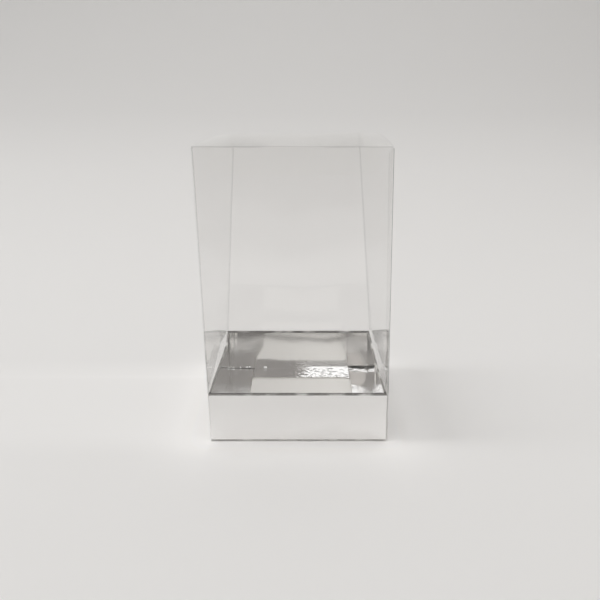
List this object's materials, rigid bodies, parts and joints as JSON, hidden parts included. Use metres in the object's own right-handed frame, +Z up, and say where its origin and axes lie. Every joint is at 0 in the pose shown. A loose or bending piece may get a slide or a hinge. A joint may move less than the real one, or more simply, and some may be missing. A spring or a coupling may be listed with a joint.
{
  "type": "clear gift box",
  "caption": "Tall square box of clear folded film with a hinged tuck-in lid, standing over a low folded card tray, mirror silver inside and out with a white floor.",
  "frame": {"origin": "centre of the base, on the surface the box stands on", "axes": "+Z up, the front panel faces -Y, +X to the right seen from the front"},
  "size_m": [0.1, 0.1, 0.1663],
  "materials": {
    "clear_film": "clear polished film",
    "white_card": "smooth white board",
    "silver_foil": "mirror foil laminated on board"
  },
  "bodies": {
    "tray": {"tray_floor": "white_card", "tray_front_wall": "silver_foil", "tray_right_wall": "silver_foil", "tray_back_wall": "silver_foil", "tray_left_wall": "silver_foil", "front_inner_leaf": "silver_foil", "right_inner_leaf": "silver_foil", "back_inner_leaf": "silver_foil", "left_inner_leaf": "silver_foil", "corner_tab_front_left": "silver_foil", "corner_tab_front_right": "silver_foil", "corner_tab_back_left": "silver_foil", "corner_tab_back_right": "silver_foil"},
    "cover": {"cover_sleeve": "clear_film"},
    "lid": {"lid_panel": "clear_film"},
    "tuck": {"tuck_flap": "clear_film"},
    "dust_left": {"dust_flap_left": "clear_film"},
    "dust_right": {"dust_flap_right": "clear_film"}
  },
  "joints": [
    {"name": "cover_lift", "type": "slide", "parent": "tray", "child": "cover", "axis": [0, 0, 1], "range_m": [0, 0.17]},
    {"name": "lid_crease", "type": "hinge", "parent": "cover", "child": "lid", "pos_m": [0, 0.0475, 0.1631], "axis": [-1, 0, 0], "range_deg": [0, 180]},
    {"name": "tuck_crease", "type": "hinge", "parent": "lid", "child": "tuck", "pos_m": [0, -0.04925, 0.1631], "axis": [-1, 0, 0], "range_deg": [0, 45]},
    {"name": "dust_crease_left", "type": "hinge", "parent": "cover", "child": "dust_left", "pos_m": [-0.05, -0.05, 0.1618], "axis": [-0.102, -0.9948, 0], "range_deg": [0, 90]},
    {"name": "dust_crease_right", "type": "hinge", "parent": "cover", "child": "dust_right", "pos_m": [0.05, -0.05, 0.1618], "axis": [-0.102, 0.9948, 0], "range_deg": [0, 90]}
  ],
  "couplings": [
    {"joint": "tuck_crease", "follows": "lid_crease", "ratio": 0.25},
    {"joint": "dust_crease_left", "follows": "lid_crease", "ratio": 0.5},
    {"joint": "dust_crease_right", "follows": "lid_crease", "ratio": 0.5}
  ]
}
